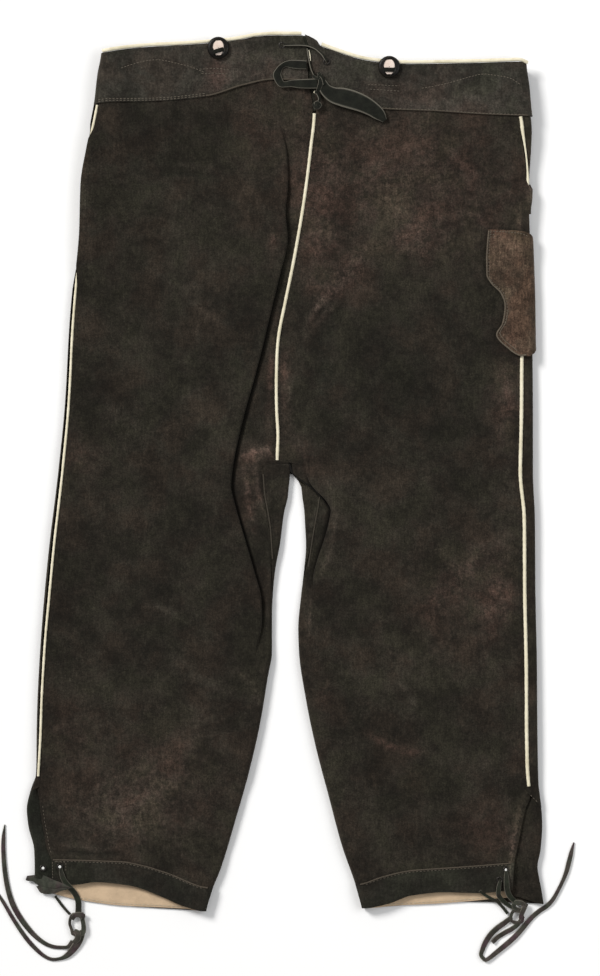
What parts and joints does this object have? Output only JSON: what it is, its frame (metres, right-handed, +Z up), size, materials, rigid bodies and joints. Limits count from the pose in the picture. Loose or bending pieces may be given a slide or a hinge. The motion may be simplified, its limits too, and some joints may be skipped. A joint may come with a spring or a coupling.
{
  "type": "knee-length suede lederhosen",
  "caption": "Knee-length suede breeches laid flat, back up, with piped seams, laced back slit, knife pocket, vented hems and tied leather laces.",
  "frame": {"origin": "centre of the garment's outline, without its laces, on the surface it lies on", "axes": "+Z up, away from the surface; +Y towards the waist; +X towards the wearer's right leg. The back of the garment faces +Z."},
  "size_m": [0.5792, 0.9293, 0.0189],
  "materials": {
    "back_panels": "mottled dark brown suede",
    "front_panels": "mottled dark brown suede",
    "waistband": "mottled dark brown suede",
    "knife_pocket": "brown suede with a pale cut edge",
    "hem_band": "mottled dark brown suede",
    "underlap": "mottled dark brown suede",
    "front_flap": "mottled dark brown suede",
    "lace": "dark suede thong with paler cut edges",
    "thong": "dark leather",
    "binding": "cream leather",
    "piping": "cream leather",
    "facing": "pale beige leather",
    "well": "pale horn",
    "button": "dark horn",
    "eyelet": "dark metal"
  },
  "bodies": {
    "root": {"back_leg_left": "back_panels", "back_leg_right": "back_panels", "front_leg_left": "front_panels", "front_leg_right": "front_panels", "waistband_back_left": "waistband", "waistband_back_right": "waistband", "waistband_front_left": "waistband", "waistband_front_right": "waistband", "waist_binding_left": "binding", "waist_binding_right": "binding", "seat_piping": "piping", "side_piping_left": "piping", "side_piping_right": "piping", "knife_pocket": "knife_pocket", "front_pocket_welt": "front_panels", "hem_band_left": "hem_band", "hem_band_right": "hem_band", "hem_facing_left": "facing", "hem_facing_right": "facing", "vent_underlap_left": "underlap", "vent_underlap_right": "underlap", "front_flap": "front_flap", "back_button_left": "button", "back_button_right": "button", "button_well_left": "well", "button_well_right": "well", "button_thong_left": "thong", "button_thong_right": "thong", "flap_button_left": "button", "flap_button_right": "button", "eyelet_waist_left": "eyelet", "eyelet_waist_right": "eyelet", "eyelet_hem_left": "eyelet", "eyelet_underlap_left": "eyelet", "eyelet_hem_right_upper": "eyelet", "eyelet_hem_right_lower": "eyelet", "back_lace_cross": "lace", "back_lace_down": "lace", "back_lace_loop": "lace", "back_lace_tail": "lace", "back_lace_knot": "lace", "back_lace_end_knot": "lace", "hem_lace_left_strap": "lace", "hem_lace_left_tab": "lace", "hem_lace_left_thin": "lace", "hem_lace_left_tail_a": "lace", "hem_lace_left_tail_b": "lace", "hem_lace_left_knot": "lace", "hem_lace_right_strap_lower": "lace", "hem_lace_right_strap_upper": "lace", "hem_lace_right_thin": "lace", "hem_lace_right_inner": "lace", "hem_lace_right_tail": "lace", "hem_lace_right_knot": "lace"}
  },
  "joints": []
}
